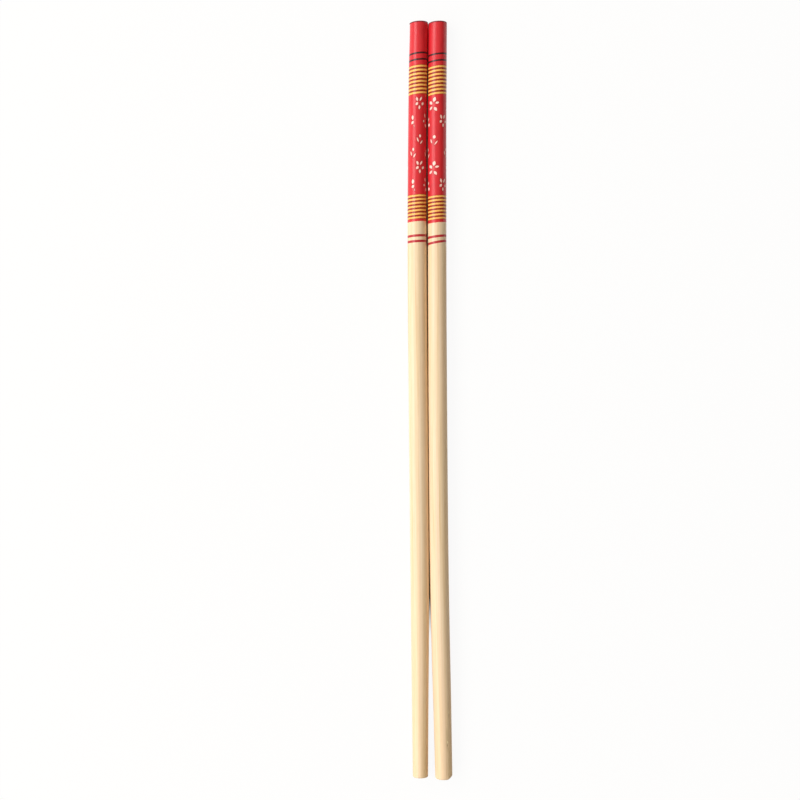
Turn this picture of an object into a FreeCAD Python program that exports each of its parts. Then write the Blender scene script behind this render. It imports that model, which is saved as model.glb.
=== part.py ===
import FreeCAD, Part
import math
import os
import Sketcher

# A pair of round bamboo chopsticks lying side by side on a table, as they come to rest.
# Each stick is one turned piece of bamboo: a square-cut butt end, a shank that stays nearly
# parallel, and a last third that thins to a blunt tip. Both keep the slight bow of the cane
# and have rolled until that bow lies flat, so every section stands on the table. They lie
# close together from the butt and part towards the tips.
# Millimetres. +Z is up, the table is Z = 0, the sticks run along Y with their butts at +Y,
# and the origin is on the table, below the middle of the pair.

# The driving dimensions: name, value, what it is.
SIZES = [
    ("length", 240.0, "one stick, butt end to tip"),
    ("right_extra_length", 0.4, "how much longer the right stick was cut"),
    ("grip_from_butt", 32.0, "the grip's section, from the butt end"),
    ("print_from_butt", 63.3, "the section where the printed film ends, from the butt end"),
    ("belly_from_butt", 95.0, "the belly's section, from the butt end"),
    ("shank_from_tip", 80.0, "the lower shank's section, from the tip"),
    ("waist_from_tip", 50.0, "the section where the sticks part, from the tip"),
    ("taper_from_tip", 25.0, "the section half way down the taper, from the tip"),
    ("left_butt_diameter", 6.0, "left stick at the butt end"),
    ("left_grip_diameter", 6.03, "left stick at the grip"),
    ("left_print_diameter", 6.22, "left stick where the printed film ends"),
    ("left_belly_diameter", 6.2, "left stick at the belly"),
    ("left_shank_diameter", 6.0, "left stick at the lower shank"),
    ("left_waist_diameter", 5.77, "left stick where the sticks part"),
    ("left_taper_diameter", 5.32, "left stick half way down the taper"),
    ("left_tip_diameter", 4.85, "left stick at the tip"),
    ("right_butt_diameter", 5.95, "right stick at the butt end"),
    ("right_grip_diameter", 6.1, "right stick at the grip"),
    ("right_print_diameter", 6.12, "right stick where the printed film ends"),
    ("right_belly_diameter", 6.07, "right stick at the belly"),
    ("right_shank_diameter", 6.08, "right stick at the lower shank"),
    ("right_waist_diameter", 5.96, "right stick where the sticks part"),
    ("right_taper_diameter", 5.75, "right stick half way down the taper"),
    ("right_tip_diameter", 5.45, "right stick at the tip"),
    ("butt_parting", -0.58, "X of the line between the sticks at the butt end"),
    ("grip_parting", -0.89, "the same at the grip"),
    ("print_parting", -0.91, "the same where the printed film ends"),
    ("belly_parting", -0.79, "the same at the belly"),
    ("shank_parting", -0.34, "the same at the lower shank"),
    ("waist_parting", -0.01, "the same where the sticks part"),
    ("taper_parting", 0.26, "the same half way down the taper"),
    ("tip_parting", 0.55, "the same at the tip"),
    ("butt_gap", 0.06, "clearance between the sticks at the butt end"),
    ("grip_gap", 0.06, "the same at the grip"),
    ("print_gap", 0.06, "the same where the printed film ends"),
    ("belly_gap", 0.06, "the same at the belly"),
    ("shank_gap", 0.1, "the same at the lower shank"),
    ("waist_gap", 0.55, "the same where the sticks part"),
    ("taper_gap", 1.45, "the same half way down the taper"),
    ("tip_gap", 2.3, "the same at the tip"),
    ("butt_cut_angle", 3.8, "how far both butt ends are sawn off square, in degrees"),
    ("butt_round", 0.35, "rounding round the edge of the butt ends"),
    ("left_tip_round", 0.4, "rounding round the edge of the left tip"),
    ("right_tip_round", 0.5, "rounding round the edge of the right tip"),
    ("worn_corner_across", 1.5, "the right tip's worn outer corner, across the stick"),
    ("worn_corner_along", 1.1, "the right tip's worn outer corner, along the stick"),
]

# The measured sections of both sticks, from the butt end down: name, distance from it.
STATIONS = [
    ("butt", "0"),
    ("grip", "sizes.grip_from_butt"),
    ("print", "sizes.print_from_butt"),
    ("belly", "sizes.belly_from_butt"),
    ("shank", "sizes.length - sizes.shank_from_tip"),
    ("waist", "sizes.length - sizes.waist_from_tip"),
    ("taper", "sizes.length - sizes.taper_from_tip"),
    ("tip", "sizes.length"),
]


def make_sheet(doc):
    """The spreadsheet with the driving dimensions, one named cell each."""
    sheet = doc.addObject("Spreadsheet::Sheet", "sizes")
    for row, (name, value, meaning) in enumerate(SIZES, start=1):
        sheet.set(f"A{row}", meaning)
        sheet.set(f"B{row}", str(value))
        sheet.setAlias(f"B{row}", name)
    doc.recompute()


def slope(values, places, index):
    """How steeply a value changes at one station, as an expression."""
    before = max(index - 1, 0)
    after = min(index + 1, len(values) - 1)
    return f"(({values[after]}) - ({values[before]})) / (({places[after]}) - ({places[before]}))"


def halfway(values, places, index):
    """A value half way to the next station, on a smooth curve through all of them."""
    here, there = values[index], values[index + 1]
    span = f"(({places[index + 1]}) - ({places[index]}))"
    bend = f"{slope(values, places, index)} - {slope(values, places, index + 1)}"
    return f"(({here}) + ({there})) / 2 + {span} / 8 * ({bend})"


def with_halfway(values, places):
    """The stations' values with the one half way to the next after each."""
    filled = []
    for index in range(len(values) - 1):
        filled += [values[index], halfway(values, places, index)]
    return filled + values[-1:]


def add_sketch(body, plane_role, name):
    """An empty sketch on one of the body's own origin planes."""
    plane = next(item for item in body.Origin.OriginFeatures if item.Role == plane_role)
    sketch = body.newObject("Sketcher::SketchObject", name)
    sketch.AttachmentSupport = (plane, [""])
    sketch.MapMode = "FlatFace"
    return sketch


def bind(sketch, constraint, expression, name):
    """Adds a constraint with a name, whose size is an expression in the sheet's names."""
    index = sketch.addConstraint(constraint)
    sketch.renameConstraint(index, name)
    sketch.setExpression(f"Constraints.{name}", expression)


def add_section(body, from_butt, middle, diameter):
    """A round section square to the stick, whose lowest point is on the table.

    It is two half circles, so that no face goes all the way round and has a seam.
    """
    sketch = add_sketch(body, "XZ_Plane", f"{body.Label}_section")
    unit_circle = Part.Circle(FreeCAD.Vector(), FreeCAD.Vector(0, 0, 1), 1)
    top = sketch.addGeometry(Part.ArcOfCircle(unit_circle, 0, math.pi))
    under = sketch.addGeometry(Part.ArcOfCircle(unit_circle, math.pi, 2 * math.pi))
    sketch.addConstraint(Sketcher.Constraint("Coincident", top, 3, -1, 1))
    sketch.addConstraint(Sketcher.Constraint("PointOnObject", top, 1, -1))
    sketch.addConstraint(Sketcher.Constraint("PointOnObject", top, 2, -1))
    sketch.addConstraint(Sketcher.Constraint("Coincident", under, 1, top, 2))
    sketch.addConstraint(Sketcher.Constraint("Coincident", under, 2, top, 1))
    sketch.addConstraint(Sketcher.Constraint("PointOnObject", under, 3, -1))
    bind(sketch, Sketcher.Constraint("Diameter", top, 2), diameter, "diameter")
    sketch.setExpression(".AttachmentOffset.Base.x", middle)
    sketch.setExpression(".AttachmentOffset.Base.y", f"({diameter}) / 2")
    sketch.setExpression(".AttachmentOffset.Base.z", f"{from_butt} - sizes.length / 2")
    return sketch


def add_sections(body, side):
    """The stick's sections: the measured ones, and one half way between each two.

    Each measured section's inner flank keeps half its gap from the line between the sticks.
    """
    sign = "-" if side == "left" else "+"
    names = [name for name, place in STATIONS]
    places = [place for name, place in STATIONS]
    if side == "right":
        places[-1] += " + sizes.right_extra_length"
    diameters = [f"sizes.{side}_{name}_diameter" for name in names]
    middles = [
        f"sizes.{name}_parting {sign} sizes.{name}_gap / 2 {sign} {diameter} / 2"
        for name, diameter in zip(names, diameters)
    ]
    rows = zip(*(with_halfway(values, places) for values in (places, middles, diameters)))
    return [add_section(body, *row) for row in rows]


def end_edges(feature, at_butt):
    """The names of the edges round the flat butt end, or round the flat tip."""
    ends = [face for face in feature.Shape.Faces if isinstance(face.Surface, Part.Plane)]
    ends.sort(key=lambda face: face.CenterOfMass.y)
    outline = ends[-1 if at_butt else 0].Edges
    edges = enumerate(feature.Shape.Edges, start=1)
    return [f"Edge{number}" for number, edge in edges if any(edge.isSame(e) for e in outline)]


def add_rounding(body, feature, at_butt, radius, name):
    """Rounds the edge of one end."""
    fillet = body.newObject("PartDesign::Fillet", name)
    fillet.Base = (feature, end_edges(feature, at_butt))
    fillet.setExpression("Radius", radius)
    body.Document.recompute()
    return fillet


def make_stick(doc, side):
    """One chopstick: its sections joined from butt to tip, and both ends rounded."""
    body = doc.addObject("PartDesign::Body", f"{side}_chopstick")
    body.Label = f"{side}_chopstick"
    body.Placement = FreeCAD.Placement()
    sections = add_sections(body, side)
    upright = FreeCAD.Rotation(FreeCAD.Vector(0, 1, 0), 1)
    sections[0].AttachmentOffset = FreeCAD.Placement(FreeCAD.Vector(), upright)
    sections[0].setExpression(".AttachmentOffset.Rotation.Angle", "sizes.butt_cut_angle")
    doc.recompute()
    loft = body.newObject("PartDesign::AdditiveLoft", f"{side}_turned_length")
    loft.Profile = (sections[0], [""])
    loft.Sections = [(section, [""]) for section in sections[1:]]
    loft.Ruled = True
    doc.recompute()
    rounded = add_rounding(body, loft, True, "sizes.butt_round", f"{side}_butt_rounding")
    tip_round = f"sizes.{side}_tip_round"
    add_rounding(body, rounded, False, tip_round, f"{side}_tip_rounding")
    return body


def add_worn_corner(body):
    """Cuts the right tip's outer corner off in a slant, from top to underside.

    The sketch's origin is the corner that the tip would have. The slant runs from
    worn_corner_across inside it to worn_corner_along above it, and past both ends, as
    the long side of a triangle that is three times as large.
    """
    sketch = add_sketch(body, "XY_Plane", "worn_corner_outline")
    corners = [FreeCAD.Vector(-2, -1), FreeCAD.Vector(1, -1), FreeCAD.Vector(1, 2)]
    for index, start in enumerate(corners):
        sketch.addGeometry(Part.LineSegment(start, corners[(index + 1) % 3]))
    for index in range(3):
        sketch.addConstraint(Sketcher.Constraint("Coincident", index, 2, (index + 1) % 3, 1))
    sketch.addConstraint(Sketcher.Constraint("Horizontal", 0))
    sketch.addConstraint(Sketcher.Constraint("Vertical", 1))
    past_x = Sketcher.Constraint("DistanceX", -1, 1, 0, 2, 1.0)
    past_y = Sketcher.Constraint("DistanceY", 0, 2, -1, 1, 1.0)
    whole_x = Sketcher.Constraint("DistanceX", 0, 1, 0, 2, 3.0)
    whole_y = Sketcher.Constraint("DistanceY", 1, 1, 1, 2, 3.0)
    bind(sketch, past_x, "sizes.worn_corner_across", "past_the_side")
    bind(sketch, past_y, "sizes.worn_corner_along", "past_the_end")
    bind(sketch, whole_x, "3 * sizes.worn_corner_across", "whole_width")
    bind(sketch, whole_y, "3 * sizes.worn_corner_along", "whole_height")
    side = "sizes.tip_parting + sizes.tip_gap / 2 + sizes.right_tip_diameter"
    end = "-sizes.length / 2 - sizes.right_extra_length"
    sketch.setExpression(".AttachmentOffset.Base.x", side)
    sketch.setExpression(".AttachmentOffset.Base.y", end)
    cut = body.newObject("PartDesign::Pocket", "worn_corner")
    cut.Profile = (sketch, [""])
    cut.Type = "ThroughAll"
    cut.Reversed = True


def check(doc, bodies):
    """Stops if any object failed to recompute, or a stick isn't one valid solid."""
    for item in doc.Objects:
        if "Invalid" in item.State or "Error" in item.State:
            raise RuntimeError(f"{item.Label} is in state {item.State}")
    for body in bodies:
        shape = body.Shape
        if shape.isNull() or not shape.isValid() or len(shape.Solids) != 1:
            raise RuntimeError(f"{body.Label} isn't one valid solid")


def main():
    doc = FreeCAD.newDocument("chopsticks")
    make_sheet(doc)
    left = make_stick(doc, "left")
    right = make_stick(doc, "right")
    add_worn_corner(right)
    doc.recompute()
    check(doc, [left, right])
    os.makedirs("parts", exist_ok=True)
    for body in (left, right):
        body.Shape.exportStep(f"parts/{body.Label}.step")
        print(body.Label, round(body.Shape.Volume, 1), "mm3")


main()
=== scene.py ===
"""A pair of round bamboo chopsticks with a printed red grip, lying side by side.

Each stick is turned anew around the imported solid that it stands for, and gets its printed
film, its bare bamboo and its end grain from one material. Everything is in metres, in the
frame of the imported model: the sticks lie along Y with their butts at +Y, and Z is up.
"""

import logging
import math
from bisect import bisect_right
from collections.abc import Sequence
from dataclasses import dataclass
from enum import Enum
from functools import cached_property, reduce
from itertools import product

import bmesh
import bpy
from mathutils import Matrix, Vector, noise


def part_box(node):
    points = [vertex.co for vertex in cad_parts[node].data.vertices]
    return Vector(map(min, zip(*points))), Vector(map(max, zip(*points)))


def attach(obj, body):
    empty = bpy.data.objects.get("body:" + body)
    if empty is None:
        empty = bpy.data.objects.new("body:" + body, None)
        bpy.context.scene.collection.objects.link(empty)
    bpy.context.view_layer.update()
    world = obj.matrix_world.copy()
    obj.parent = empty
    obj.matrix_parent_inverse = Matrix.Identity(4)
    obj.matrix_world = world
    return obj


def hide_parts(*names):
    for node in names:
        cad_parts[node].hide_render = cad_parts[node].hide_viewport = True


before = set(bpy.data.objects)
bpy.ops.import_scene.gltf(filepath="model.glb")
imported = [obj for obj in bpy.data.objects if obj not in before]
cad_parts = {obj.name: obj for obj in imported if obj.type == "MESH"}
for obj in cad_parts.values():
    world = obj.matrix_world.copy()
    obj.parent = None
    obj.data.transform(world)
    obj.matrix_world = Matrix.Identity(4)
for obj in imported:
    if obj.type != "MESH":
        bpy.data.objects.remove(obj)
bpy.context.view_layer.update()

log = logging.getLogger("chopsticks")

MM = 0.001
Colour = tuple[float, float, float]


class Socket:
    """A value in a material, on which Python's own operators add Math nodes."""

    def __init__(self, shader: "Shader", output: bpy.types.NodeSocket) -> None:
        """Keeps the node output that carries the value, and the shader that it is in."""
        self.shader = shader
        self.output = output

    def math(self, operation: str, *others: "Socket | float", clamp: bool = False) -> "Socket":
        """Adds a Math node whose first value is this one.

        Args:
            operation: the Math node's operation.
            others: the node's second and third values.
            clamp: whether the result is kept from 0 to 1.

        Returns:
            The node's result.
        """
        return self.shader.math(operation, self, *others, clamp=clamp)

    def __add__(self, other: "Socket | float") -> "Socket":
        """The sum."""
        return self.math("ADD", other)

    __radd__ = __add__

    def __sub__(self, other: "Socket | float") -> "Socket":
        """The difference."""
        return self.math("SUBTRACT", other)

    def __rsub__(self, other: float) -> "Socket":
        """The difference from a plain number."""
        return self.shader.math("SUBTRACT", other, self)

    def __mul__(self, other: "Socket | float") -> "Socket":
        """The product."""
        return self.math("MULTIPLY", other)

    __rmul__ = __mul__

    def __truediv__(self, other: "Socket | float") -> "Socket":
        """The quotient."""
        return self.math("DIVIDE", other)

    def __rtruediv__(self, other: float) -> "Socket":
        """A plain number divided by this value."""
        return self.shader.math("DIVIDE", other, self)

    def __mod__(self, other: "Socket | float") -> "Socket":
        """The remainder, which is never negative."""
        return self.math("FLOORED_MODULO", other)

    def __pow__(self, other: "Socket | float") -> "Socket":
        """The power."""
        return self.math("POWER", other)

    def __abs__(self) -> "Socket":
        """The value without its sign."""
        return self.math("ABSOLUTE")


class Shader:
    """One node tree and the calls that fill it."""

    def __init__(self, tree: bpy.types.NodeTree) -> None:
        """Empties the tree."""
        self.tree = tree
        tree.nodes.clear()

    def node(
        self,
        kind: str,
        settings: dict[str, object] | None = None,
        inputs: dict[str | int, object] | None = None,
    ) -> bpy.types.Node:
        """Adds one node.

        Args:
            kind: the node's type, such as ShaderNodeMath.
            settings: its properties, set before its values. The key "stops" is for a ramp.
            inputs: a value, a Socket or a node output for each named or numbered input.

        Returns:
            The new node.
        """
        made = self.tree.nodes.new(kind)
        for name, value in (settings or {}).items():
            if name == "stops":
                self._set_stops(made.color_ramp, value)
            else:
                setattr(made, name, value)
        for name, value in (inputs or {}).items():
            if isinstance(value, Socket):
                value = value.output
            if isinstance(value, bpy.types.NodeSocket):
                self.tree.links.new(value, made.inputs[name])
            else:
                made.inputs[name].default_value = value
        return made

    @staticmethod
    def _set_stops(ramp: bpy.types.ColorRamp, stops: Sequence[tuple[float, Colour]]) -> None:
        """Gives a ramp its stops, as (place, colour) from low to high."""
        while len(ramp.elements) < len(stops):
            ramp.elements.new(1.0)
        for element, (place, colour) in zip(ramp.elements, stops):
            element.position = place
            element.color = (*colour, 1.0)

    def math(self, operation: str, *values: Socket | float, clamp: bool = False) -> Socket:
        """Adds a Math node.

        Args:
            operation: the node's operation.
            values: its inputs, in order.
            clamp: whether the result is kept from 0 to 1.

        Returns:
            The node's result.
        """
        settings = {"operation": operation, "use_clamp": clamp}
        made = self.node("ShaderNodeMath", settings, dict(enumerate(values)))
        return Socket(self, made.outputs[0])

    def vector(self, x: Socket | float, y: Socket | float, z: Socket | float) -> Socket:
        """A vector made of three values."""
        return Socket(self, self.node("ShaderNodeCombineXYZ", {}, {0: x, 1: y, 2: z}).outputs[0])

    def parts(self, vector: Socket | bpy.types.NodeSocket) -> tuple[Socket, Socket, Socket]:
        """The three values that a vector or a colour is made of."""
        made = self.node("ShaderNodeSeparateXYZ", {}, {0: vector})
        return tuple(Socket(self, output) for output in made.outputs)

    def mix(
        self,
        factor: Socket | float,
        under: Socket | Colour,
        over: Socket | Colour,
        blend: str = "MIX",
    ) -> Socket:
        """Lays one colour over another.

        Args:
            factor: how much of the upper colour shows.
            under: the lower colour.
            over: the upper colour.
            blend: the Mix node's way of blending.

        Returns:
            The mixed colour.
        """
        under, over = (x if isinstance(x, Socket) else (*x, 1.0) for x in (under, over))
        settings = {"data_type": "RGBA", "blend_type": blend}
        made = self.node("ShaderNodeMix", settings, {0: factor, 6: under, 7: over})
        return Socket(self, made.outputs[2])

    def noise(self, vector: Socket, detail: float) -> Socket:
        """A Noise texture of size 1 at these coordinates, about 0.5 on average."""
        inputs = {"Vector": vector, "Scale": 1.0, "Detail": detail}
        return Socket(self, self.node("ShaderNodeTexNoise", {}, inputs).outputs[0])

    def ramp(self, value: Socket, stops: Sequence[tuple[float, Colour]], hard: bool = False) -> Socket:
        """The colour that a ramp has at a value; a hard ramp jumps from stop to stop."""
        made = self.node("ShaderNodeValToRGB", {"stops": stops}, {0: value})
        made.color_ramp.interpolation = "CONSTANT" if hard else "LINEAR"
        return Socket(self, made.outputs[0])


def above(value: Socket, limit: Socket | float, soft: float) -> Socket:
    """A mask that is 1 where a value is over a limit, with an edge of width soft."""
    return ((value - limit) / soft + 0.5).math("ADD", 0.0, clamp=True)


def near(value: Socket, middle: Socket | float, reach: float, soft: float) -> Socket:
    """A mask that is 1 within reach of a middle, with an edge of width soft."""
    return 1.0 - above(abs(value - middle), reach, soft)


def either(first: Socket, second: Socket) -> Socket:
    """The stronger of two masks."""
    return first.math("MAXIMUM", second)


class Side(Enum):
    """Which of the two sticks."""

    LEFT = "left"
    RIGHT = "right"


@dataclass(frozen=True)
class SmoothLine:
    """A value that changes smoothly along a stick, through what was measured on it."""

    places: tuple[float, ...]
    values: tuple[float, ...]

    @cached_property
    def slopes(self) -> tuple[float, ...]:
        """How steeply the value changes at each measured place."""
        last = len(self.places) - 1
        spans = ((max(i - 1, 0), min(i + 1, last)) for i in range(last + 1))
        return tuple(
            (self.values[b] - self.values[a]) / (self.places[b] - self.places[a]) for a, b in spans
        )

    def at(self, place: float) -> float:
        """The value at a place.

        Args:
            place: the distance from the butt end, in metres.

        Returns:
            The value there, which goes straight on beyond the first and last places.
        """
        i = min(max(bisect_right(self.places, place) - 1, 0), len(self.places) - 2)
        beyond, span = place - self.places[i], self.places[i + 1] - self.places[i]
        t = beyond / span
        start, end = self.values[i : i + 2]
        leave, arrive = self.slopes[i : i + 2]
        if t < 0:
            return start + leave * beyond
        if t > 1:
            return end + arrive * (beyond - span)
        bend = (leave * (1 - t) - arrive * t) * t * (1 - t) * span
        return start + (end - start) * t * t * (3 - 2 * t) + bend


@dataclass(frozen=True)
class Flat:
    """A side worn flat: its turn from the top and its half width in degrees, its depth in metres."""

    turn: float
    half_width: float
    depth: SmoothLine


@dataclass(frozen=True)
class Place:
    """A place on the skin: its turn from the top in degrees, its distance from the butt in mm."""

    turn: float
    distance: float


@dataclass(frozen=True)
class Splinter:
    """A nick where the turning tore a fibre up: where it is, and how big against the largest."""

    place: Place
    size: float


@dataclass(frozen=True)
class Line:
    """One line printed round the stick, in mm from the butt end."""

    distance: float
    width: float
    tilt: float


@dataclass(frozen=True)
class RingBand:
    """A row of equal yellow rings, in mm from the butt end."""

    first: float
    pitch: float
    count: int
    tilt: float


@dataclass(frozen=True)
class Petal:
    """A pointed oval, in mm: its middle across and towards the butt, its half sizes, its lean."""

    across: float
    up: float
    half_length: float
    half_width: float
    lean: float


@dataclass(frozen=True)
class MotifRow:
    """One motif and the places round the stick where it is printed."""

    petals: tuple[Petal, ...]
    places: tuple[Place, ...]


@dataclass(frozen=True)
class Veil:
    """Streaks of another colour: their sizes in mm, and where and how much of them shows."""

    around: float
    along: float
    seed: float
    detail: float
    limit: float
    soft: float
    strength: float


@dataclass(frozen=True)
class Mark:
    """A soft oval by a nick: its place from the nick's in degrees and mm, its half sizes in mm."""

    turn: float
    down: float
    half_width: float
    half_length: float
    strength: float
    colour: Colour


@dataclass(frozen=True)
class Inks:
    """The colours of the printed film, and of the butt's dark rim, which is partly painted shade."""

    red: Colour = (0.69, 0.015, 0.024)
    worn_red: Colour = (0.56, 0.009, 0.016)
    deep_red: Colour = (0.31, 0.004, 0.004)
    yellow: Colour = (1.0, 0.53, 0.12)
    ochre: Colour = (0.52, 0.10, 0.006)
    black: Colour = (0.035, 0.0006, 0.0006)
    cream: Colour = (1.0, 0.68, 0.59)
    pink: Colour = (0.95, 0.31, 0.26)
    crimson: Colour = (0.48, 0.014, 0.024)
    # rim: the film's dark edge at the butt's rounding, darkened further as painted shade where the
    # rounding turns away from the light
    rim: Colour = (0.12, 0.001, 0.012)


@dataclass(frozen=True)
class Bamboo:
    """The colours of the bare bamboo, and the painted shade and highlight beside its nicks."""

    pale: Colour = (0.91, 0.725, 0.51)
    straw: Colour = (0.85, 0.64, 0.385)
    blush: Colour = (0.89, 0.62, 0.42)
    tan: Colour = (0.68, 0.44, 0.21)
    # painted shade in a nick's hollow
    nick_hollow_shade: Colour = (0.34, 0.19, 0.08)
    stain: Colour = (0.42, 0.34, 0.16)
    # painted highlight on a nick's lifted lip
    nick_lip_highlight: Colour = (0.97, 0.84, 0.55)
    tip_tint: Colour = (0.96, 0.94, 0.88)


@dataclass(frozen=True)
class Film:
    """The printed film of one stick, as it was wrapped on; the twist is in degrees a repeat."""

    black_lines: tuple[Line, ...]
    upper_rings: RingBand
    lower_rings: RingBand
    red_end: float
    red_lines: tuple[Line, ...]
    rows: tuple[MotifRow, ...]
    gloss_blur: float
    twist: float = 0.0
    repeat: float = 20.24
    seed: float = 0.0


BLOSSOM_UPRIGHT = (
    Petal(0.25, 1.58, 0.84, 0.58, 75.0),
    Petal(1.18, 0.52, 0.74, 0.42, 14.0),
    Petal(0.68, -1.45, 0.78, 0.50, 128.0),
    Petal(-0.98, -1.18, 0.82, 0.42, 45.0),
    Petal(-1.00, 0.52, 0.74, 0.56, 130.0),
)
BLOSSOM_TURNED = (
    Petal(-0.80, 1.18, 0.78, 0.40, 105.0),
    Petal(0.42, 1.30, 0.86, 0.36, 60.0),
    Petal(-0.90, -0.30, 0.66, 0.44, 52.0),
    Petal(1.02, -0.25, 0.62, 0.42, 66.0),
    Petal(-0.08, -1.42, 0.72, 0.34, 88.0),
)
SPRAY = (
    Petal(0.0, 1.22, 0.86, 0.46, 90.0),
    Petal(-0.04, -0.34, 0.66, 0.46, 52.0),
    Petal(0.56, -1.40, 0.48, 0.11, 104.0),
)
PETAL_PAIR = (
    Petal(-0.08, 0.90, 0.58, 0.32, 84.0),
    Petal(0.06, -0.92, 0.62, 0.50, 93.0),
)
BLOSSOM_NARROW = (
    Petal(-0.48, 1.80, 0.78, 0.34, 102.0),
    Petal(-0.92, 0.10, 0.50, 0.34, 84.0),
    Petal(-0.12, -1.25, 0.70, 0.32, 102.0),
    Petal(0.85, 0.90, 0.60, 0.20, 80.0),
)
SMALL_BUD = (
    Petal(0.0, 0.0, 0.60, 0.38, 86.0),
    Petal(-0.76, -1.24, 0.92, 0.27, 106.0),
    Petal(0.44, -1.94, 0.88, 0.25, 59.0),
)
LARGE_BUD = (
    Petal(0.02, 0.0, 0.64, 0.54, 72.0),
    Petal(-1.02, -1.28, 0.86, 0.29, 107.0),
    Petal(0.62, -1.84, 1.02, 0.24, 51.0),
)


class FilmShader:
    """The material of one stick: print, bare bamboo and end grain.

    Lengths are in mm, apart from the bump's depth, which is in metres.
    """

    inks = Inks()
    bamboo = Bamboo()

    radius = 3.07
    skin_per_degree = radius * math.pi / 180

    # The print. The reaches and the margin are parts of a band's pitch.
    print_blur = 0.1
    ring_reach = 0.22
    ring_edge_reach = 0.32
    band_margin = 0.38
    ring_wander = 0.16
    petal_wander = 0.25
    petal_fullness = 1.9
    ramp_reach = 100.0

    # The streaks, and the marks by each nick: a stain beside it, painted shade in its hollow and a
    # painted highlight on its lifted lip.
    mottle = Veil(0.5, 7.0, 2.0, 3.0, limit=0.56, soft=0.22, strength=0.35)
    blots = Veil(1.6, 3.5, 6.0, 3.0, limit=0.60, soft=0.12, strength=0.16)
    hues = Veil(0.55, 60.0, 41.0, 2.0, limit=0.52, soft=0.20, strength=0.45)
    nick_marks = (
        Mark(-5.0, -1.5, 0.42, 4.2, 0.28, bamboo.stain),
        Mark(0.0, 0.45, 0.24, 0.42, 0.35, bamboo.nick_hollow_shade),
        Mark(0.0, -0.55, 0.24, 0.42, 0.9, bamboo.nick_lip_highlight),
    )

    # The ends, the film's edges with the painted shade on the butt's rim, and the gloss.
    grain_dots = 1.9
    rim_depth = 0.44
    film_past_lines = 1.2
    bump_depth = 0.016 * MM
    specular = 0.38
    coat = 0.50
    coat_ior = 1.45

    def __init__(self, name: str, film: Film, length: float, splinters: Sequence[Splinter]) -> None:
        """Makes the empty material.

        Args:
            name: the material's name.
            film: what is printed and where.
            length: the stick's length in metres.
            splinters: the nicks, which get a stain, painted shade in their hollows and a painted
                highlight on their lifted lips.
        """
        self.film = film
        self.splinters = splinters
        self.material = bpy.data.materials.new(name)
        self.material.use_nodes = True
        self.shader = Shader(self.material.node_tree)
        skin = self.shader.node("ShaderNodeUVMap", {"uv_map": Chopstick.skin_map})
        turn, run, _ = self.shader.parts(skin.outputs[0])
        self.turn = (turn - 0.5) * 360.0
        self.angle = (turn - 0.5) * (2 * math.pi)
        self.side = self.angle.math("SINE")
        self.top = self.angle.math("COSINE")
        self.along = run * (length / MM)

    def streaks(self, around: float, along: float, seed: float, detail: float = 2.0) -> Socket:
        """Noise drawn out along the stick, with no seam round it.

        Args:
            around: the streaks' width, in mm.
            along: their length, in mm.
            seed: shifts them.
            detail: how many finer layers they have.

        Returns:
            Noise from about 0.2 to 0.8.
        """
        reach = self.radius / around
        return self.shader.noise(
            self.shader.vector(
                self.side * reach + (seed + self.film.seed),
                self.top * reach - seed,
                self.along / along + seed * 3.1,
            ),
            detail,
        )

    def veil(self, veil: Veil, under: Socket | Colour, over: Colour) -> Socket:
        """Lays streaks of another colour over a colour."""
        streaks = self.streaks(veil.around, veil.along, veil.seed, veil.detail)
        return self.shader.mix(above(streaks, veil.limit, veil.soft) * veil.strength, under, over)

    def line(self, line: Line) -> Socket:
        """The mask of one line round the stick."""
        along = self.along + self.side * line.tilt
        return near(along, line.distance, line.width / 2, self.print_blur)

    def rings(self, band: RingBand) -> tuple[Socket, Socket, Socket]:
        """The masks of a band of rings.

        Args:
            band: the rings.

        Returns:
            The yellow rings, the rings with their ochre edges, and the whole band.
        """
        wander = (self.streaks(2.2, 9.0, seed=5.3) - 0.5) * self.ring_wander
        along = self.along + self.side * band.tilt + wander
        start = band.first - band.pitch * self.band_margin
        end = band.first + band.pitch * (band.count - 1 + self.band_margin)
        whole = above(along, start, self.print_blur) * (1.0 - above(along, end, self.print_blur))
        phase = ((along - band.first) / band.pitch + 0.5) % 1.0
        ring = near(phase, 0.5, self.ring_reach, 0.10)
        edge = near(phase, 0.5, self.ring_edge_reach, 0.12)
        return ring * whole, edge * whole, whole

    def _from_nearest(self, places: Sequence[Place]) -> tuple[Socket, Socket]:
        """Coordinates about the nearest of several motifs spread round the stick.

        Args:
            places: the motifs' middles.

        Returns:
            The distances to the right of it and from it towards the butt, in mm.
        """
        order = sorted((place.turn % 360, place.distance) for place in places)
        starts = [(order[i - 1][0] + turn - 360 * (i == 0)) / 2 for i, (turn, _) in enumerate(order)]
        stops = [
            ((start - starts[0]) / 360, (turn / 360, distance / self.ramp_reach, 0.0))
            for start, (turn, distance) in zip(starts, order)
        ]
        sector = ((self.turn - starts[0]) % 360.0) / 360.0
        turn, distance, _ = self.shader.parts(self.shader.ramp(sector, stops, hard=True))
        wander = (self.streaks(1.1, 1.1, seed=8.7, detail=1.0) - 0.5) * self.petal_wander
        past = self.along - distance * self.ramp_reach
        drift = past * (self.film.twist / self.film.repeat)
        away = (self.turn - drift - turn * 360.0 + 180.0) % 360.0 - 180.0
        half = self.film.repeat / 2
        down = (past + half) % self.film.repeat - half
        return away * self.skin_per_degree + wander, wander * 0.6 - down

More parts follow.
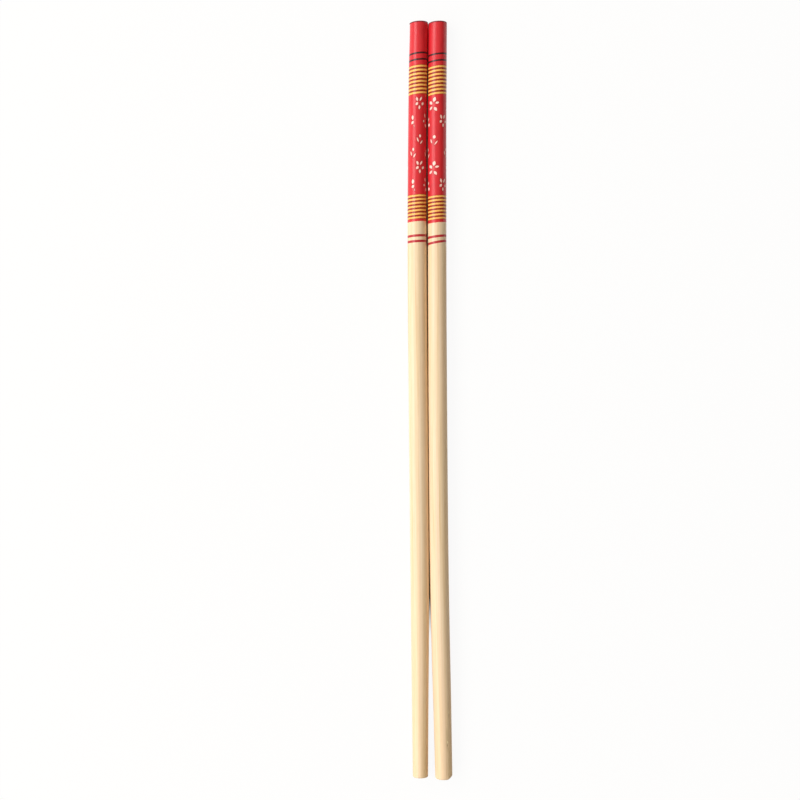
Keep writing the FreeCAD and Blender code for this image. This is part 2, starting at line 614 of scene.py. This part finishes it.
    def petal(self, across: Socket, up: Socket, petal: Petal) -> Socket:
        """How far inside the outline of a petal a point is, in mm; less than 0 outside it."""
        cos, sin = math.cos(math.radians(petal.lean)), math.sin(math.radians(petal.lean))
        lengthwise = across * cos + up * sin - (petal.across * cos + petal.up * sin)
        sideways = up * cos - across * sin - (petal.up * cos - petal.across * sin)
        share = abs(lengthwise) / petal.half_length
        width = (1.0 - share**self.petal_fullness) * petal.half_width
        return width - abs(sideways)

    def motif(self, row: MotifRow) -> Socket:
        """How far inside the nearest petal of a row of motifs a point is, in mm."""
        across, up = self._from_nearest(row.places)
        return reduce(either, [self.petal(across, up, petal) for petal in row.petals])

    def film_colour(self) -> Socket:
        """The film's colour, before it ends."""
        film, inks, shader = self.film, self.inks, self.shader
        colour = self.veil(self.mottle, inks.red, inks.worn_red)
        colour = self.veil(self.blots, colour, inks.deep_red)
        for band in (film.upper_rings, film.lower_rings):
            ring, edge, whole = self.rings(band)
            colour = shader.mix(whole, colour, inks.deep_red)
            colour = shader.mix(edge, colour, inks.ochre)
            colour = shader.mix(ring, colour, inks.yellow)
        for line in film.black_lines:
            colour = shader.mix(self.line(line), colour, inks.black)
        upper = film.upper_rings.first + film.upper_rings.pitch * (film.upper_rings.count - 0.5)
        lower = film.lower_rings.first - film.lower_rings.pitch * 0.6
        field = above(self.along, upper, self.print_blur)
        field = field * (1.0 - above(self.along, lower, self.print_blur))
        inside = reduce(either, [self.motif(row) for row in film.rows])
        colour = shader.mix(above(inside, -0.18, 0.22) * field * 0.70, colour, inks.deep_red)
        colour = shader.mix(above(inside, 0.02, 0.09) * field, colour, inks.pink)
        return shader.mix(above(inside, 0.11, 0.13) * field, colour, inks.cream)

    def spot(self, place: Place, across: float, along: float) -> Socket:
        """The mask of a soft oval on the skin, with its half sizes in mm."""
        x = (self.turn - place.turn) * (self.skin_per_degree / across)
        y = (self.along - place.distance) / along
        return 1.0 - above(x * x + y * y, 0.75, 0.7)

    def bamboo_colour(self) -> Socket:
        """The bare bamboo's colour, with its fibres, and by the nicks their stain, painted shade and
        painted highlight.
        """
        bamboo, shader = self.bamboo, self.shader
        broad = self.streaks(1.5, 70.0, seed=11.0, detail=2.0)
        fine = self.streaks(0.26, 30.0, seed=13.0, detail=3.0)
        hair = self.streaks(0.09, 7.0, seed=17.0, detail=2.0)
        colour = shader.ramp(
            broad * 0.35 + fine * 0.65,
            ((0.28, bamboo.tan), (0.42, bamboo.straw), (0.60, bamboo.pale)),
        )
        colour = self.veil(self.hues, colour, bamboo.blush)
        pores = above(hair, 0.66, 0.06) * above(fine, 0.45, 0.15)
        colour = shader.mix(pores * 0.45, colour, bamboo.tan)
        to_tip = above(self.along, 215.0, 50.0)
        bands = self.streaks(0.5, 90.0, seed=37.0, detail=1.0)
        colour = shader.mix(above(bands, 0.56, 0.16) * (to_tip * 0.20 + 0.15), colour, bamboo.tan)
        colour = shader.mix(to_tip, colour, bamboo.tip_tint, "MULTIPLY")
        # Each nick gets a stain beside it, painted shade in its hollow and a painted highlight on its
        # lifted lip.
        for splinter, mark in product(self.splinters, self.nick_marks):
            place = Place(splinter.place.turn + mark.turn, splinter.place.distance + mark.down)
            spot = self.spot(place, mark.half_width, mark.half_length)
            colour = shader.mix(spot * (mark.strength * splinter.size), colour, mark.colour)
        return colour

    def end_grain(self) -> Socket:
        """The sawn ends' colour: a pale ground with the dots of cut fibre bundles."""
        bamboo, shader = self.bamboo, self.shader
        place = shader.node("ShaderNodeTexCoord").outputs["Object"]
        x, _, z = shader.parts(place)
        cells = shader.node(
            "ShaderNodeTexVoronoi",
            {"voronoi_dimensions": "2D"},
            {
                "Vector": shader.vector(x / MM, z / MM, 0.0),
                "Scale": self.grain_dots,
                "Randomness": 0.75,
            },
        )
        dots = 1.0 - above(Socket(shader, cells.outputs["Distance"]), 0.30, 0.16)
        ground = shader.noise(shader.vector(x / MM * 3.0, z / MM * 3.0, 0.0), 3.0)
        colour = shader.mix(ground, bamboo.straw, bamboo.pale)
        return shader.mix(dots * 0.6, colour, bamboo.tan)

    def build(self) -> bpy.types.Material:
        """Joins the parts into the finished material.

        Returns:
            The material.
        """
        shader, film = self.shader, self.film
        normal = shader.node("ShaderNodeNewGeometry").outputs["True Normal"]
        facing = abs(shader.parts(normal)[1])
        # Where the surface turns towards the ends, on the tip's rounded edge and the worn corner's
        # face, the bamboo is darkened towards tan: painted shade.
        worn = above(facing, 0.72, 0.20) * 0.8
        bare = shader.mix(worn, self.bamboo_colour(), self.bamboo.tan)
        red_part = 1.0 - above(self.along + self.side * film.lower_rings.tilt, film.red_end, 0.09)
        colour = shader.mix(red_part, bare, self.film_colour())
        for line in film.red_lines:
            colour = shader.mix(self.line(line), colour, self.inks.crimson)
        cut_end = above(facing, 0.985, 0.02)
        # A dark band round the butt's rounded rim: partly the film's edge, partly painted shade where
        # the rounding turns away from the light.
        rim = (1.0 - above(self.along, self.rim_depth, 0.12)) * (1.0 - cut_end)
        colour = shader.mix(rim * 0.85, colour, self.inks.rim)
        colour = shader.mix(cut_end, colour, self.end_grain())
        film_end = film.red_lines[-1].distance + self.film_past_lines
        filmed = (1.0 - above(self.along, film_end, 0.4)) * (1.0 - cut_end)
        fibre = self.streaks(0.16, 9.0, seed=23.0, detail=3.0)
        grain = self.streaks(0.55, 34.0, seed=29.0, detail=2.0)
        height = fibre * (1.0 - filmed * 0.6) + grain
        relief = {"Strength": 1.0, "Distance": self.bump_depth, "Height": height}
        bump = shader.node("ShaderNodeBump", {}, relief)
        rough = 0.52 - filmed * 0.04 + (fibre - 0.5) * 0.16
        bsdf = shader.node(
            "ShaderNodeBsdfPrincipled",
            {},
            {
                "Base Color": colour,
                "Roughness": rough,
                "Specular IOR Level": self.specular,
                "Coat Weight": filmed * (1.0 - rim) * self.coat,
                "Coat Roughness": film.gloss_blur,
                "Coat IOR": self.coat_ior,
                "Normal": bump.outputs[0],
            },
        )
        shader.node("ShaderNodeOutputMaterial", {}, {"Surface": bsdf.outputs[0]})
        return self.material


def place_mesh(
    name: str, shape: bmesh.types.BMesh, material: bpy.types.Material
) -> bpy.types.Object:
    """Puts a shape into the scene as an object, and frees it.

    Args:
        name: the object's name and its mesh's.
        shape: the shape.
        material: its one material.

    Returns:
        The new object.
    """
    mesh = bpy.data.meshes.new(name)
    shape.to_mesh(mesh)
    shape.free()
    mesh.materials.append(material)
    placed = bpy.data.objects.new(name, mesh)
    bpy.context.scene.collection.objects.link(placed)
    return placed


@dataclass
class Chopstick:
    """One turned stick. Lengths are in metres, from the butt end where not said otherwise."""

    side: Side
    film: Film
    tip_round: float
    worn_corner: tuple[float, float] | None = None
    splinters: tuple[Splinter, ...] = ()
    flats: tuple[Flat, ...] = ()
    butt_round: float = 0.35 * MM
    butt_at: float = 120 * MM
    butt_cut_angle: float = 3.8
    cut_reach: float = 9 * MM

    # The straight blank, and how finely it is turned.
    blank_radius: float = 3 * MM
    around: int = 128
    rings: int = 240
    end_cuts: int = 3
    rim_segments: int = 6
    weld: float = 1e-7

    # The worn corner's edge, the uneven skin and the nicks.
    worn_edge_round: float = 0.09 * MM
    worn_edge_segments: int = 3
    waver: float = 0.009 * MM
    waver_length: float = 11 * MM
    nick_cuts: int = 3
    nick_cuts_reach_mm: float = 2.6
    nick_width: float = 0.28 * MM
    nick_length_mm: float = 0.9
    nick_depth_mm: float = 0.07
    nick_slope: float = 2.2

    # The maps, in parts of the baked picture's side.
    skin_map = "skin"
    bake_map = "OFBake"
    bake_strips = 4
    bake_gap = 0.015
    bake_bottom = 0.125
    bake_height = 0.865
    bake_ends = ((0.06, 0.06), (0.18, 0.06))
    bake_end_scale = 14.5

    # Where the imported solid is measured.
    stations_mm = (1.6, 16, 32, 47.65, 63.3, 79.15, 95, 127.5, 160, 175, 190, 202.5, 215, 227.5, 238)

    def __post_init__(self) -> None:
        """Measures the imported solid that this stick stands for."""
        self.node = f"{self.side.value}_chopstick"
        self.length = self.butt_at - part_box(self.node)[0].y
        places, middles, radii, heights = [], [], [], []
        solid = bmesh.new()
        solid.from_mesh(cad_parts[self.node].data)
        bmesh.ops.remove_doubles(solid, verts=solid.verts, dist=self.weld)
        for station in self.stations_mm:
            low, high = self._slice(solid, self.butt_at - station * MM)
            places.append(station * MM)
            middles.append((low.x + high.x) / 2)
            radii.append((high.x - low.x + high.z - low.z) / 4)
            heights.append((low.z + high.z) / 2)
        solid.free()
        self.middle = SmoothLine(tuple(places), tuple(middles))
        self.radius = SmoothLine(tuple(places), tuple(radii))
        self.height = SmoothLine(tuple(places), tuple(heights))

    @staticmethod
    def _slice(solid: bmesh.types.BMesh, y: float) -> tuple[Vector, Vector]:
        """The lowest and highest corner of a solid's section.

        Args:
            solid: the solid, which isn't changed.
            y: where it is cut, square to Y.

        Returns:
            The two corners.
        """
        cut = solid.copy()
        parts = bmesh.ops.bisect_plane(
            cut, geom=cut.verts[:] + cut.edges[:] + cut.faces[:], plane_co=(0, y, 0), plane_no=(0, 1, 0)
        )["geom_cut"]
        points = [part.co.copy() for part in parts if isinstance(part, bmesh.types.BMVert)]
        cut.free()
        return (
            Vector(min(p[axis] for p in points) for axis in range(3)),
            Vector(max(p[axis] for p in points) for axis in range(3)),
        )

    def _cut_slant(self, distance: float) -> float:
        """How far a point runs on towards the butt for each metre to the right of the middle.

        It is the slant of the saw cut at the butt end, and fades out below it.
        """
        fade = min(max(1 - (distance - self.butt_round) / self.cut_reach, 0.0), 1.0)
        return math.tan(math.radians(self.butt_cut_angle)) * fade * fade

    def _turn_blank(self) -> bmesh.types.BMesh:
        """Turns a straight round blank along -Y, closed and rounded at both ends."""
        blank = bmesh.new()
        outline = [(0, 0), (self.blank_radius, 0), (self.blank_radius, self.length), (0, self.length)]
        corners = [blank.verts.new((radius, -distance, 0)) for radius, distance in outline]
        butt, flank, tip = (blank.edges.new(pair) for pair in zip(corners, corners[1:]))
        bmesh.ops.subdivide_edges(blank, edges=[butt, tip], cuts=self.end_cuts)
        bmesh.ops.subdivide_edges(blank, edges=[flank], cuts=self.rings)
        fine = [edge for edge in blank.edges if self._near_splinter(edge)]
        if fine:
            bmesh.ops.subdivide_edges(blank, edges=fine, cuts=self.nick_cuts)
        bmesh.ops.spin(
            blank,
            geom=blank.verts[:] + blank.edges[:],
            cent=(0, 0, 0),
            axis=(0, 1, 0),
            angle=2 * math.pi,
            steps=self.around,
            use_merge=True,
        )
        bmesh.ops.remove_doubles(blank, verts=blank.verts, dist=self.weld)
        for end, rounding in ((0.0, self.butt_round), (-self.length, self.tip_round)):
            rim = [edge for edge in blank.edges if self._on_rim(edge, end)]
            bmesh.ops.bevel(
                blank,
                geom=rim,
                offset=rounding,
                offset_type="OFFSET",
                affect="EDGES",
                segments=self.rim_segments,
                profile=0.5,
                material=-1,
            )
        bmesh.ops.recalc_face_normals(blank, faces=blank.faces)
        return blank

    def _near_splinter(self, edge: bmesh.types.BMEdge) -> bool:
        """Whether an edge of the outline is where finer rings are wanted."""
        middle = -(edge.verts[0].co.y + edge.verts[1].co.y) / 2 / MM
        on_flank = min(vert.co.x for vert in edge.verts) > self.blank_radius * 0.99
        reach = self.nick_cuts_reach_mm
        return on_flank and any(abs(middle - nick.place.distance) < reach for nick in self.splinters)

    def _on_rim(self, edge: bmesh.types.BMEdge, end: float) -> bool:
        """Whether an edge of the blank runs round the rim of one end."""
        at_end = all(abs(vert.co.y - end) < self.weld for vert in edge.verts)
        outside = all(
            math.hypot(vert.co.x, vert.co.z) > self.blank_radius * 0.999 for vert in edge.verts
        )
        return at_end and outside

    def _relief(self, turn: float, distance: float) -> float:
        """How far the surface stands out at a point: uneven cane, worn sides and splinters.

        Args:
            turn: the angle from the top, in radians.
            distance: the distance from the butt end, in metres.

        Returns:
            The height in metres.
        """
        place = Vector((math.sin(turn) * 2.0, math.cos(turn) * 2.0, distance / self.waver_length))
        height = self.waver * (noise.noise(place + Vector((self.film.seed, 0, 0))) - 0.6)
        for flat in self.flats:
            away = (math.degrees(turn) - flat.turn) / flat.half_width
            height -= flat.depth.at(distance) * math.exp(-(away**2))
        for splinter in self.splinters:
            across = (turn - math.radians(splinter.place.turn)) * self.blank_radius / self.nick_width
            along = (distance / MM - splinter.place.distance) / self.nick_length_mm
            if max(abs(across), abs(along)) < 3:
                depth = math.exp(-(across**2)) * MM * self.nick_depth_mm * splinter.size
                lifted = math.exp(-((along + 0.6) ** 2) * self.nick_slope)
                torn = math.exp(-((along - 0.5) ** 2) * self.nick_slope)
                height += depth * (lifted - torn)
        return height

    def _bow(self, stick: bmesh.types.BMesh) -> None:
        """Bends and tapers the straight blank to the measured sections."""
        for vert in stick.verts:
            distance = -vert.co.y
            turn = math.atan2(vert.co.x, vert.co.z)
            radius = self.radius.at(distance)
            out = math.hypot(vert.co.x, vert.co.z) / self.blank_radius
            reach = out * radius + (self._relief(turn, distance) if out > 0.99 else 0.0)
            right, up = math.sin(turn) * reach, math.cos(turn) * reach
            vert.co = Vector(
                (
                    self.middle.at(distance) + right,
                    self.butt_at - distance + right * self._cut_slant(distance),
                    self.height.at(distance) + up,
                )
            )

    def _wear_corner(self, stick: bmesh.types.BMesh) -> None:
        """Cuts the tip's outer corner off in a slant and eases the new edge."""
        across, along = self.worn_corner
        side = self.middle.at(self.length) + self.radius.at(self.length)
        normal = Vector((along, -across, 0)).normalized()
        cut = bmesh.ops.bisect_plane(
            stick,
            geom=stick.verts[:] + stick.edges[:] + stick.faces[:],
            plane_co=(side - across, self.butt_at - self.length, 0),
            plane_no=normal,
            clear_outer=True,
        )["geom_cut"]
        outline = [part for part in cut if isinstance(part, bmesh.types.BMEdge)]
        bmesh.ops.holes_fill(stick, edges=outline, sides=0)
        bmesh.ops.bevel(
            stick,
            geom=[edge for edge in outline if edge.is_valid],
            offset=self.worn_edge_round,
            offset_type="OFFSET",
            affect="EDGES",
            segments=self.worn_edge_segments,
            profile=0.5,
            material=-1,
            clamp_overlap=True,
        )

    def _unroll(self, point: Vector) -> tuple[float, float, float]:
        """Where a point of the finished stick is on its skin.

        Args:
            point: the point.

        Returns:
            The turn from the top in radians, the distance from the butt end in metres, and the
            distance from the middle line in metres.
        """
        distance = self.butt_at - point.y
        right = point.x - self.middle.at(distance)
        distance += right * self._cut_slant(distance)
        up = point.z - self.height.at(distance)
        return math.atan2(right, up), distance, math.hypot(right, up)

    def _lay_maps(self, stick: bmesh.types.BMesh) -> None:
        """Lays the skin map, which the print follows, and the map for baking.

        The skin map is the turn by the distance from the butt end, with its seam underneath.
        The baking map holds the same skin in four lengths side by side, with both ends below.
        """
        skin = stick.loops.layers.uv.new(self.skin_map)
        bake = stick.loops.layers.uv.new(self.bake_map)
        places = {vert: self._unroll(vert.co) for vert in stick.verts}
        strip_length = self.length / self.bake_strips
        for face in stick.faces:
            middle = face.calc_center_median()
            face_turn, face_distance, _ = self._unroll(middle)
            strip = min(max(int(face_distance / strip_length), 0), self.bake_strips - 1)
            at_end = abs(face.normal.y) > 0.8
            end_x, end_z = self.bake_ends[0 if middle.y > 0 else 1]
            for loop in face.loops:
                turn, distance, out = places[loop.vert]
                if out < 0.02 * MM:  # the middle of an end, which has no turn of its own
                    turn = face_turn
                if turn - face_turn > math.pi:  # beyond the seam
                    turn -= 2 * math.pi
                elif face_turn - turn > math.pi:
                    turn += 2 * math.pi
                across = turn / (2 * math.pi) + 0.5
                loop[skin].uv = (across, distance / self.length)
                if at_end:
                    reach = out * self.bake_end_scale
                    loop[bake].uv = (end_x + math.sin(turn) * reach, end_z + math.cos(turn) * reach)
                else:
                    column = strip + self.bake_gap + (1 - 2 * self.bake_gap) * across
                    row = self.bake_bottom + self.bake_height * (distance / strip_length - strip)
                    loop[bake].uv = (column / self.bake_strips, row)

    def build(self) -> bpy.types.Object:
        """Makes, dresses and registers the stick.

        Returns:
            The finished piece.
        """
        stick = self._turn_blank()
        self._bow(stick)
        if self.worn_corner:
            self._wear_corner(stick)
        stick.normal_update()
        self._lay_maps(stick)
        for face in stick.faces:
            face.smooth = True
        name = self.side.value
        finish = FilmShader(f"{name}_printed_bamboo", self.film, self.length, self.splinters)
        piece = place_mesh(f"{name}_printed_stick", stick, finish.build())
        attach(piece, "root")
        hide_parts(self.node)
        return piece


@dataclass
class Studio:
    """The table, the soft light from the left and the camera straight above."""

    camera_height: float = 0.458
    lens: float = 64.35
    shift_right: float = -0.0375
    lamp_distance: float = 0.9
    lamp_angle: float = 42.0
    lamp_width: float = 0.516
    lamp_length: float = 2.2
    lamp_radiance: float = 3.9
    shadow_share: float = 0.07
    paper: tuple[float, ...] = (0.88, 0.83, 0.75, 1.0)
    white: tuple[float, ...] = (1.0, 1.0, 1.0, 1.0)
    table_half: float = 4.0
    horizon: float = 0.12

    # Where the sticks cover the table, so that no glow shows between them.
    stick_offset: float = 3.3 * MM
    stick_shade: float = 1.3 * MM
    gap_at: float = -0.6 * MM
    gap_shade: float = 2.0 * MM
    gap_opens_at: float = -69 * MM
    shade_end: float = 118.4 * MM
    notch_shade: float = 0.4 * MM
    notch_end: float = 120.1 * MM
    blur: float = 1.0 * MM

    # The room's light round the sticks: from below, by the left, the top and the right.
    room = (
        (0.00, (0.07, 0.06, 0.05)),
        (0.22, (0.50, 0.50, 0.50)),
        (0.36, (0.50, 0.50, 0.50)),
        (0.42, (0.22, 0.22, 0.22)),
        (0.50, (0.36, 0.34, 0.30)),
        (0.54, (0.58, 0.53, 0.43)),
        (0.61, (0.38, 0.33, 0.25)),
        (0.66, (0.06, 0.05, 0.04)),
        (1.00, (0.06, 0.05, 0.04)),
    )

    @staticmethod
    def _rays(shader: Shader) -> tuple[Socket, Socket, Socket]:
        """Whether a ray comes from the camera, from a mirror and through glass."""
        path = shader.node("ShaderNodeLightPath").outputs
        kinds = ("Is Camera Ray", "Is Glossy Ray", "Is Transmission Ray")
        return tuple(Socket(shader, path[kind]) for kind in kinds)

    def _covered(self, shader: Shader) -> Socket:
        """Where the sticks cover the table: below each of them, and between them while they touch."""
        x, y, _ = shader.parts(shader.node("ShaderNodeTexCoord").outputs["Object"])
        middle = 0.6 * MM - above(y, -70 * MM, 100 * MM) * (1.4 * MM)
        below = near(abs(x - middle), self.stick_offset, self.stick_shade, self.blur)
        touching = above(y, self.gap_opens_at, 12 * MM)
        between = near(x, self.gap_at, self.gap_shade, self.blur) * touching
        covered = either(below, between) * near(y, 0.0, self.shade_end, self.blur)
        notch = near(x, self.gap_at, self.notch_shade, 0.2 * MM) * touching
        return either(covered, notch * (1.0 - above(y, self.notch_end, 0.3 * MM)))

    def add_floor(self) -> None:
        """Lays the white table, which keeps a soft shadow."""
        material = bpy.data.materials.new("white_table")
        material.use_nodes = True
        shader = Shader(material.node_tree)
        paper = shader.node("ShaderNodeBsdfDiffuse", {}, {"Color": self.paper})
        glow = shader.node("ShaderNodeEmission", {}, {"Color": self.white, "Strength": 1.0})
        seen = reduce(either, self._rays(shader))
        share = seen * (1.0 - self.shadow_share) * (1.0 - self._covered(shader))
        mixed = shader.node(
            "ShaderNodeMixShader", {}, {0: share, 1: paper.outputs[0], 2: glow.outputs[0]}
        )
        shader.node("ShaderNodeOutputMaterial", {}, {"Surface": mixed.outputs[0]})
        plate = bmesh.new()
        bmesh.ops.create_grid(plate, x_segments=1, y_segments=1, size=self.table_half)
        floor = place_mesh("table_top", plate, material)

    def light_room(self) -> None:
        """Sets the room's dim light, brighter on the left, and its white backdrop."""
        world = bpy.data.worlds.new("studio_room")
        world.use_nodes = True
        bpy.context.scene.world = world
        shader = Shader(world.node_tree)
        way = shader.node("ShaderNodeTexCoord").outputs["Generated"]
        right, _, rise = shader.parts(way)
        turn = right.math("ARCTAN2", rise) / (2 * math.pi) + 0.5
        camera, glossy, clear = self._rays(shader)
        backdrop = 1.0 - above(rise, self.horizon, self.horizon)
        shown = either(camera, either(glossy, clear) * backdrop)
        colour = shader.mix(shown, shader.ramp(turn, self.room), self.white[:3])
        glow = shader.node("ShaderNodeBackground", {}, {"Color": colour, "Strength": 1.0})
        shader.node("ShaderNodeOutputWorld", {}, {"Surface": glow.outputs[0]})

    def add_lamp(self) -> None:
        """Hangs the long soft box on the left."""
        data = bpy.data.lights.new("soft_box", "AREA")
        data.shape = "RECTANGLE"
        data.size, data.size_y = self.lamp_width, self.lamp_length
        data.energy = self.lamp_radiance * math.pi * self.lamp_width * self.lamp_length
        lamp = bpy.data.objects.new("soft_box", data)
        angle = math.radians(self.lamp_angle)
        lamp.location = (
            -math.sin(angle) * self.lamp_distance,
            0.0,
            math.cos(angle) * self.lamp_distance,
        )
        lamp.rotation_euler = (0.0, -angle, 0.0)
        lamp.visible_camera = False
        bpy.context.scene.collection.objects.link(lamp)

    def add_camera(self) -> None:
        """Puts the camera straight above the sticks, with the butts at the top of the picture."""
        data = bpy.data.cameras.new("camera")
        data.sensor_width = 36.0
        data.lens = self.lens
        data.shift_x = self.shift_right
        data.clip_start, data.clip_end = 0.01, 20.0
        camera = bpy.data.objects.new("camera", data)
        camera.location = (0.0, 0.0, self.camera_height)
        bpy.context.scene.collection.objects.link(camera)
        bpy.context.scene.camera = camera


LEFT_FILM = Film(
    black_lines=(Line(10.21, 0.56, 0.38), Line(12.24, 0.56, 0.38)),
    upper_rings=RingBand(14.40, 1.199, 8, 0.33),
    lower_rings=RingBand(55.39, 1.151, 7, 0.25),
    red_end=63.5,
    red_lines=(Line(68.00, 0.78, 0.22), Line(69.77, 0.78, 0.18)),
    rows=(
        MotifRow(BLOSSOM_TURNED, (Place(11.5, 26.03), Place(131.0, 26.3), Place(-108.0, 26.1))),
        MotifRow(BLOSSOM_NARROW, (Place(58.0, 31.8), Place(178.0, 31.7))),
        MotifRow(SPRAY, (Place(-31.8, 31.9), Place(-95.0, 32.2))),
        MotifRow(SMALL_BUD, (Place(15.6, 36.49), Place(134.0, 36.7), Place(-106.0, 36.4))),
        MotifRow(SMALL_BUD, (Place(-26.3, 40.77), Place(70.0, 40.9), Place(-150.0, 40.8))),
    ),
    gloss_blur=0.12,
    twist=5.0,
    seed=3.7,
)

RIGHT_FILM = Film(
    black_lines=(Line(10.49, 0.56, 0.42), Line(12.59, 0.56, 0.42)),
    upper_rings=RingBand(14.59, 1.193, 8, 0.40),
    lower_rings=RingBand(55.66, 1.137, 7, 0.30),
    red_end=63.85,
    red_lines=(Line(68.22, 0.78, 0.41), Line(70.05, 0.78, 0.56)),
    rows=(
        MotifRow(BLOSSOM_UPRIGHT, (Place(-21.0, 26.53), Place(101.0, 26.5), Place(-140.0, 26.3))),
        MotifRow(BLOSSOM_TURNED, (Place(41.3, 31.58), Place(163.0, 31.7))),
        MotifRow(PETAL_PAIR, (Place(-57.5, 31.98), Place(-108.0, 32.1))),
        MotifRow(LARGE_BUD, (Place(-16.4, 36.82), Place(102.0, 36.9), Place(-137.0, 36.7))),
        MotifRow(SMALL_BUD, (Place(-66.0, 40.7), Place(68.0, 40.6), Place(178.0, 40.8))),
    ),
    gloss_blur=0.24,
    seed=9.2,
)


def wear(places: Sequence[float], depths: Sequence[float]) -> SmoothLine:
    """How deep a side is worn along a stick, from depths at some places, all in mm."""
    return SmoothLine(tuple(place * MM for place in places), tuple(depth * MM for depth in depths))


# Where the sticks lie together each is worn flat, but the butts swell a little and touch.
INNER_WEAR = wear((0, 3, 25, 70, 105, 190, 241), (-0.026, -0.02, 0.18, 0.18, 0.06, 0.0, 0.0))
BUTT_WEAR = wear((0, 5, 12, 20, 30, 241), (0.18, 0.17, 0.06, 0.0, 0.0, 0.0))


def main() -> None:
    """Builds the studio and both sticks."""
    logging.basicConfig(level=logging.INFO, format="%(message)s")
    bpy.context.scene.view_settings.view_transform = "Standard"
    studio = Studio()
    studio.add_camera()
    studio.add_floor()
    studio.light_room()
    studio.add_lamp()
    sticks = (
        Chopstick(
            Side.LEFT,
            LEFT_FILM,
            tip_round=0.4 * MM,
            flats=(Flat(90.0, 18.0, INNER_WEAR), Flat(-90.0, 45.0, BUTT_WEAR)),
        ),
        Chopstick(
            Side.RIGHT,
            RIGHT_FILM,
            tip_round=0.5 * MM,
            worn_corner=(1.5 * MM, 1.1 * MM),
            splinters=(Splinter(Place(31.0, 228.9), 1.0), Splinter(Place(46.0, 219.5), 0.5)),
            flats=(Flat(-90.0, 18.0, INNER_WEAR),),
        ),
    )
    for stick in sticks:
        piece = stick.build()
        log.info("%s: %d faces", piece.name, len(piece.data.polygons))


if __name__ == "__main__":
    main()
